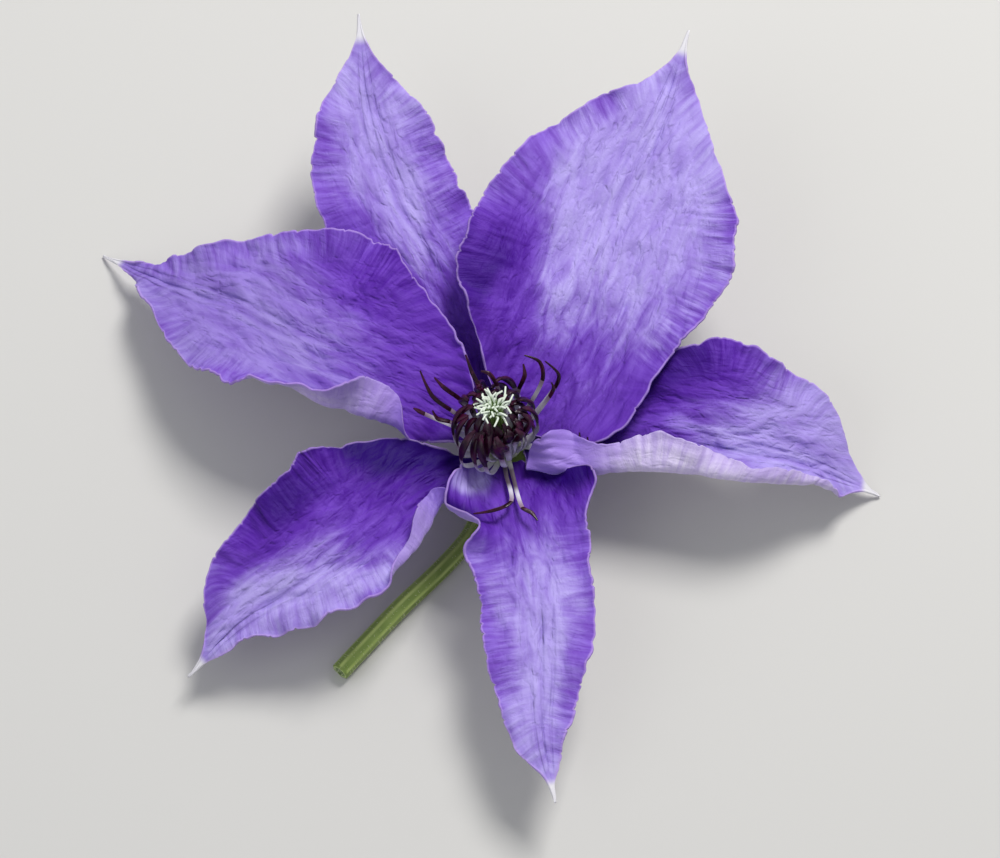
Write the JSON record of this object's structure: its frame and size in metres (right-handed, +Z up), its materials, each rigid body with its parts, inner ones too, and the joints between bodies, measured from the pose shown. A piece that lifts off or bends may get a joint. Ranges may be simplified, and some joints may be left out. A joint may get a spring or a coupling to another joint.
{
  "type": "clematis flower",
  "caption": "Large-flowered clematis blossom lying face up on its cut stem: pointed violet tepals round dark maroon stamens and a pale tuft of styles",
  "frame": {"origin": "middle of the flower's outline seen from above, on the surface that it lies on", "axes": "+Z up out of the face of the flower, +X to the right as the flower faces the viewer, +Y towards the two upper tepals"},
  "size_m": [0.1597, 0.167, 0.0313],
  "materials": {
    "tepal": "violet petal tissue, satin, paler along the midrib",
    "stem": "green ribbed stem with fine hairs",
    "stamens": "dark maroon anthers on pale flat stalks",
    "pistil": "pale green-white silky styles"
  },
  "bodies": {
    "root": {"tepal_upper_left": "tepal", "tepal_left": "tepal", "tepal_upper_right": "tepal", "tepal_right": "tepal", "tepal_lower": "tepal", "tepal_lower_left": "tepal", "stem": "stem", "stamens": "stamens", "pistil": "pistil"}
  },
  "joints": []
}
